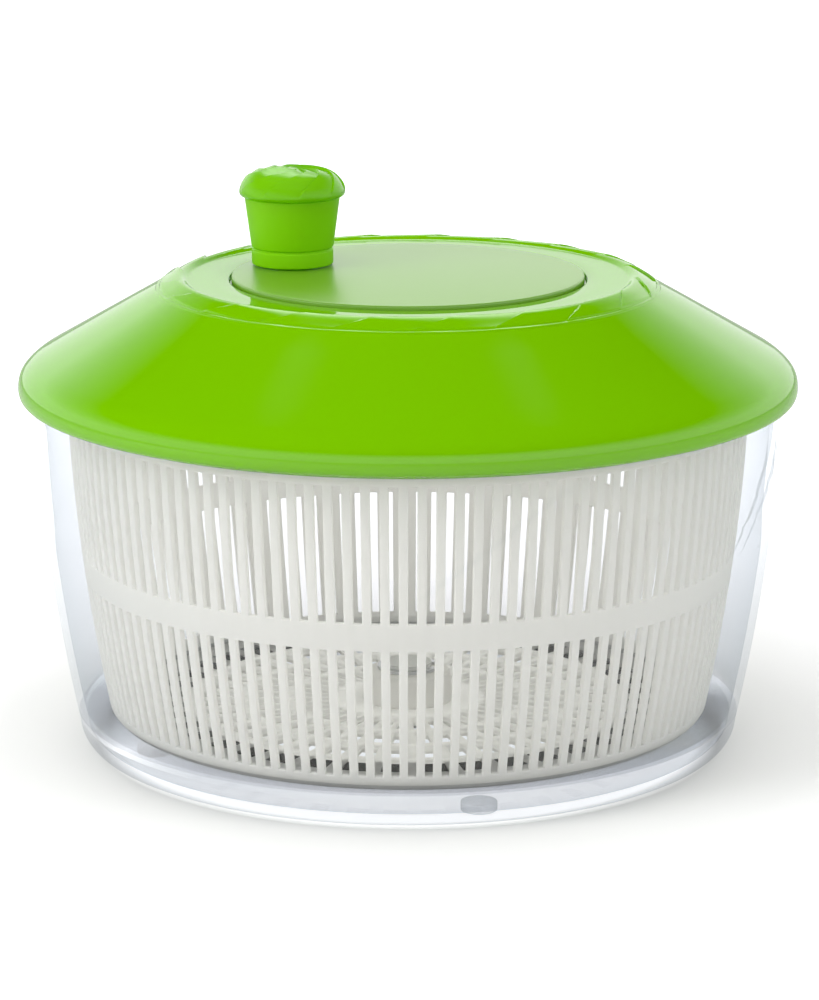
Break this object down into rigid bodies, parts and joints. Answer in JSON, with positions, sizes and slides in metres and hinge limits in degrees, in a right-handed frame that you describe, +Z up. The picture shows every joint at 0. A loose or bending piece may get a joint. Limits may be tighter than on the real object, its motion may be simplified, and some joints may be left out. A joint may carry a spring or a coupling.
{
  "type": "salad spinner",
  "caption": "Crank-lid salad spinner: clear round bowl, slotted basket on a pivot, green domed lid with an internal gear train that spins the basket.",
  "frame": {"origin": "on the table under the bowl's axis, level with the bottom of the foot pads", "axes": "+Z up along the bowl's axis, -Y to the front"},
  "size_m": [0.26, 0.26, 0.1923],
  "materials": {
    "clear_bowl": "clear polished plastic",
    "clear_foot": "clear soft pad",
    "steel": "plain steel",
    "bearing_plastic": "smooth",
    "white_plastic": "satin, slightly translucent",
    "gear_plastic": "moulded",
    "green_shell": "high gloss, translucent",
    "green_disc": "fine matt texture, translucent",
    "green_knob": "frosted, translucent"
  },
  "bodies": {
    "bowl": {"bowl": "clear_bowl", "foot_pads": "clear_foot", "pivot_pin": "steel"},
    "basket_bearing": {"basket_bush": "bearing_plastic", "bush_clip": "steel"},
    "basket": {"basket": "white_plastic"},
    "lid": {"lid_shell": "green_shell", "gear_carrier": "white_plastic", "carrier_screws": "steel", "idler_pins": "steel", "sun_bush": "bearing_plastic"},
    "crank": {"crank_disc": "green_disc", "ring_gear": "gear_plastic", "ring_gear_washer": "steel", "ring_gear_screw": "steel", "knob_washer": "steel", "knob_screw": "steel"},
    "knob": {"knob_body": "green_knob", "knob_cap": "green_knob"},
    "idler_1": {"idler_gear_1": "gear_plastic"},
    "idler_2": {"idler_gear_2": "gear_plastic"},
    "idler_3": {"idler_gear_3": "gear_plastic"},
    "drive": {"sun_gear": "gear_plastic", "thrust_washer": "steel", "drive_plate": "white_plastic", "drive_washer": "steel", "drive_screw": "steel"}
  },
  "joints": [
    {"name": "lid_lift", "type": "slide", "parent": "bowl", "child": "lid", "axis": [0, 0, 1], "range_m": [0, 0.25]},
    {"name": "basket_lift", "type": "slide", "parent": "bowl", "child": "basket_bearing", "axis": [0, 0, 1], "range_m": [0, 0.125]},
    {"name": "basket_spin", "type": "hinge", "parent": "basket_bearing", "child": "basket", "pos_m": [0, 0, 0.018], "axis": [0, 0, 1], "continuous": true},
    {"name": "crank_turn", "type": "hinge", "parent": "lid", "child": "crank", "pos_m": [0, 0, 0.155], "axis": [0, 0, 1], "continuous": true},
    {"name": "knob_spin", "type": "hinge", "parent": "crank", "child": "knob", "pos_m": [-0.03883, 0.01729, 0.17], "axis": [0, 0, 1], "continuous": true},
    {"name": "idler_1_spin", "type": "hinge", "parent": "lid", "child": "idler_1", "pos_m": [0.0288, 0, 0.1442], "axis": [0, 0, 1], "continuous": true},
    {"name": "idler_2_spin", "type": "hinge", "parent": "lid", "child": "idler_2", "pos_m": [-0.0144, 0.02494, 0.1442], "axis": [0, 0, 1], "continuous": true},
    {"name": "idler_3_spin", "type": "hinge", "parent": "lid", "child": "idler_3", "pos_m": [-0.0144, -0.02494, 0.1442], "axis": [0, 0, 1], "continuous": true},
    {"name": "drive_spin", "type": "hinge", "parent": "lid", "child": "drive", "pos_m": [0, 0, 0.13], "axis": [0, 0, 1], "continuous": true}
  ],
  "couplings": [
    {"joint": "basket_lift", "follows": "lid_lift", "ratio": 0.5},
    {"joint": "basket_spin", "follows": "crank_turn", "ratio": -3.8},
    {"joint": "drive_spin", "follows": "crank_turn", "ratio": -3.8},
    {"joint": "idler_1_spin", "follows": "crank_turn", "ratio": 2.7143},
    {"joint": "idler_2_spin", "follows": "crank_turn", "ratio": 2.7143},
    {"joint": "idler_3_spin", "follows": "crank_turn", "ratio": 2.7143}
  ]
}
